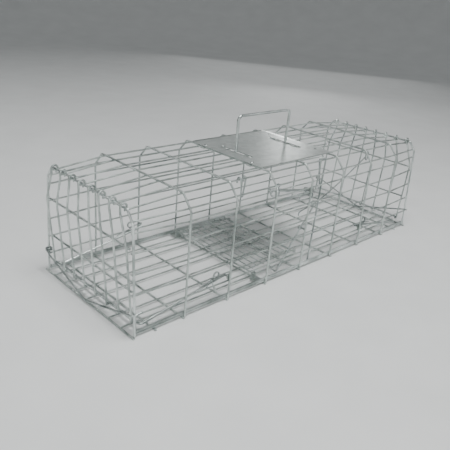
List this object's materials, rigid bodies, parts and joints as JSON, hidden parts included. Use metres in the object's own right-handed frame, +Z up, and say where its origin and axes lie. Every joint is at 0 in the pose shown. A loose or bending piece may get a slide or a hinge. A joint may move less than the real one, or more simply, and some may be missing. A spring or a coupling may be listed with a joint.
{
  "type": "live catch trap",
  "caption": "Welded-wire live catch cage with inward-swinging doors at both ends, sprung door locks, a central treadle with rod linkage, and a folding top handle on a sheet plate.",
  "frame": {"origin": "floor level under the middle of the cage", "axes": "+X along the cage to the rear door, +Y to the wall without linkage, +Z up"},
  "size_m": [0.6126, 0.2109, 0.218],
  "materials": {
    "galvanised_mesh_wire": "bright electro-galvanised drawn wire",
    "bright_zinc_rod": "bright zinc-plated drawn rod",
    "galvanised_sheet": "smooth zinc-coated sheet",
    "turned_steel_pins": "zinc-plated pins and rivets",
    "spring_wire": "zinc-plated spring wire"
  },
  "bodies": {
    "cage": {"mid_hoops": "galvanised_mesh_wire", "end_hoops": "bright_zinc_rod", "floor_cross_wires": "galvanised_mesh_wire", "floor_long_wires": "galvanised_mesh_wire", "base_edge_rods": "bright_zinc_rod", "near_wall_wires": "galvanised_mesh_wire", "far_wall_wires": "galvanised_mesh_wire", "roof_wires": "galvanised_mesh_wire", "handle_plate": "galvanised_sheet", "plate_clips": "galvanised_sheet", "plate_rivets": "turned_steel_pins", "handle_saddles": "galvanised_sheet", "lock_pivot_eyes": "galvanised_sheet", "front_lock_springs": "spring_wire", "rear_lock_springs": "spring_wire", "front_stop_wire": "spring_wire", "rear_stop_wire": "spring_wire", "treadle_brackets": "galvanised_sheet", "trigger_pins": "turned_steel_pins", "trip_guide_rod": "spring_wire", "guide_loop": "spring_wire", "leg_keeper": "spring_wire"},
    "front_door": {"front_door_bars": "galvanised_mesh_wire", "front_door_cross_wires": "galvanised_mesh_wire", "front_door_foot_bar": "bright_zinc_rod"},
    "rear_door": {"rear_door_bars": "galvanised_mesh_wire", "rear_door_cross_wires": "galvanised_mesh_wire", "rear_door_foot_bar": "bright_zinc_rod"},
    "front_lock": {"front_lock_frame": "bright_zinc_rod"},
    "rear_lock": {"rear_lock_frame": "bright_zinc_rod"},
    "treadle": {"treadle_frame": "galvanised_mesh_wire", "treadle_long_wires": "galvanised_mesh_wire", "treadle_cross_wires": "galvanised_mesh_wire"},
    "trigger_arm": {"trigger_arm": "spring_wire"},
    "rear_link": {"rear_link": "spring_wire"},
    "front_latch_hook": {"front_latch_hook": "spring_wire"},
    "front_catch": {"front_catch": "spring_wire"},
    "handle": {"handle": "bright_zinc_rod"}
  },
  "joints": [
    {"name": "front_door_hinge", "type": "hinge", "parent": "cage", "child": "front_door", "pos_m": [-0.3, 0, 0.1557], "axis": [0, -1, 0], "range_deg": [0, 82]},
    {"name": "rear_door_hinge", "type": "hinge", "parent": "cage", "child": "rear_door", "pos_m": [0.3, 0, 0.1557], "axis": [0, 1, 0], "range_deg": [0, 82]},
    {"name": "front_lock_pivot", "type": "hinge", "parent": "cage", "child": "front_lock", "pos_m": [-0.15, 0, 0.0335], "axis": [0, 1, 0], "range_deg": [0, 45], "stiffness_Nm_per_rad": 0.05, "springref_deg": -57.3, "deforming": ["front_lock_springs"]},
    {"name": "rear_lock_pivot", "type": "hinge", "parent": "cage", "child": "rear_lock", "pos_m": [0.15, 0, 0.0335], "axis": [0, -1, 0], "range_deg": [0, 45], "stiffness_Nm_per_rad": 0.05, "springref_deg": -57.3, "deforming": ["rear_lock_springs"]},
    {"name": "treadle_pivot", "type": "hinge", "parent": "cage", "child": "treadle", "pos_m": [-0.084, 0, 0.011], "axis": [0, 1, 0], "range_deg": [0, 4], "stiffness_Nm_per_rad": 0.3, "springref_deg": -11.46},
    {"name": "trigger_arm_pivot", "type": "hinge", "parent": "cage", "child": "trigger_arm", "pos_m": [0, -0.0935, 0.06571], "axis": [0, 1, 0], "range_deg": [-3.6, 0]},
    {"name": "rear_link_slide", "type": "slide", "parent": "cage", "child": "rear_link", "axis": [1, 0, 0], "range_m": [-0.002, 0]},
    {"name": "latch_hook_pivot", "type": "hinge", "parent": "cage", "child": "front_latch_hook", "pos_m": [0, -0.0935, 0.1255], "axis": [0, 1, 0], "range_deg": [0, 8]},
    {"name": "front_catch_swing", "type": "hinge", "parent": "cage", "child": "front_catch", "pos_m": [-0.122, -0.0825, 0.15945], "axis": [1, 0, 0], "range_deg": [-15, 20]},
    {"name": "handle_fold", "type": "hinge", "parent": "cage", "child": "handle", "pos_m": [0, 0, 0.1585], "axis": [1, 0, 0], "range_deg": [-68, 68]}
  ],
  "couplings": [
    {"joint": "trigger_arm_pivot", "follows": "treadle_pivot", "ratio": -0.7},
    {"joint": "rear_link_slide", "follows": "treadle_pivot", "m_per_rad": -0.0207}
  ]
}
